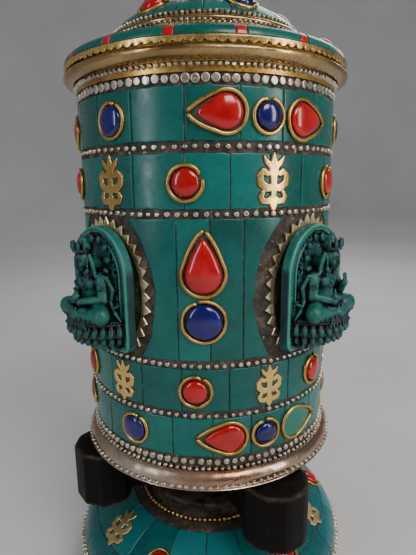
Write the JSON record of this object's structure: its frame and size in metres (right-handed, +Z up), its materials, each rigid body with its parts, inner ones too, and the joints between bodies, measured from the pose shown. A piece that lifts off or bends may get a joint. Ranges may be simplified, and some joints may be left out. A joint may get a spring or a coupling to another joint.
{
  "type": "table prayer wheel",
  "caption": "Table-top prayer wheel: tiled drum with stone settings and figure plaques turning on a spindle over a domed base, with wooden push arms and a lift-off lid.",
  "frame": {"origin": "on the table surface, under the spindle's axis", "axes": "+Z up along the spindle; -Y is the front, the side the camera sees; +X is the viewer's right"},
  "size_m": [0.1338, 0.1338, 0.302],
  "materials": {
    "turquoise": "polished inlay, thin dark joints",
    "coral": "glossy",
    "lapis": "glossy",
    "mastic": "dull, crumbled",
    "brass": "polished, worn",
    "white_metal": "worn plating over brass",
    "bronze": "polished with patina",
    "copper": "dull",
    "worn_silver": "worn plating over copper",
    "black_wood": "black stain, worn edges",
    "plain_wood": "raw",
    "resin": "dark wash in the recesses",
    "iron": "plain",
    "paper": "matt"
  },
  "bodies": {
    "base": {"base_core": "plain_wood", "base_plate": "plain_wood", "base_tiles": "turquoise", "foot_ring": "copper", "base_bead_rows": "white_metal", "neck_collar": "black_wood", "base_brasswork": "brass", "base_corals": "coral", "spindle": "iron", "spindle_nut": "iron", "thrust_washer": "brass"},
    "drum": {"arm_back_left": "black_wood", "arm_back_right": "black_wood", "arm_front_left": "black_wood", "arm_front_right": "black_wood", "bead_rows": "white_metal", "bottom_rim": "worn_silver", "brass_ornaments": "brass", "coral_drops": "coral", "coral_rounds": "coral", "drum_can": "copper", "drum_floor": "copper", "lapis_rounds": "lapis", "lower_bush": "brass", "mastic_sleeve": "mastic", "plaque_back_left": "resin", "plaque_back_right": "resin", "plaque_frames": "brass", "plaque_front_left": "resin", "plaque_front_right": "resin", "rim_beads": "white_metal", "scroll_core": "plain_wood", "scroll_roll": "paper", "settings": "brass", "tiles_bottom": "turquoise", "tiles_figure": "turquoise", "tiles_lower": "turquoise", "tiles_top": "turquoise", "tiles_upper": "turquoise", "top_plate": "plain_wood", "turquoise_inlay": "turquoise", "upper_bush": "brass", "wood_hub": "black_wood"},
    "lid": {"finial_bulb": "turquoise", "finial_collar": "copper", "finial_tip": "brass", "lid_bead_rows": "white_metal", "lid_collar": "bronze", "lid_corals": "coral", "lid_dome_tiles": "turquoise", "lid_inserts": "coral", "lid_lapis": "lapis", "lid_rim": "bronze", "lid_settings": "brass", "lid_shell": "brass", "lid_shoulder_tiles": "turquoise", "lid_skirt": "brass", "lid_spigot": "brass", "lid_step_band": "white_metal", "lid_tile_band": "turquoise"}
  },
  "joints": [
    {"name": "drum_spin", "type": "hinge", "parent": "base", "child": "drum", "pos_m": [0, 0, 0], "axis": [0, 0, 1], "continuous": true},
    {"name": "lid_lift", "type": "slide", "parent": "drum", "child": "lid", "axis": [0, 0, 1], "range_m": [0, 0.12]}
  ]
}
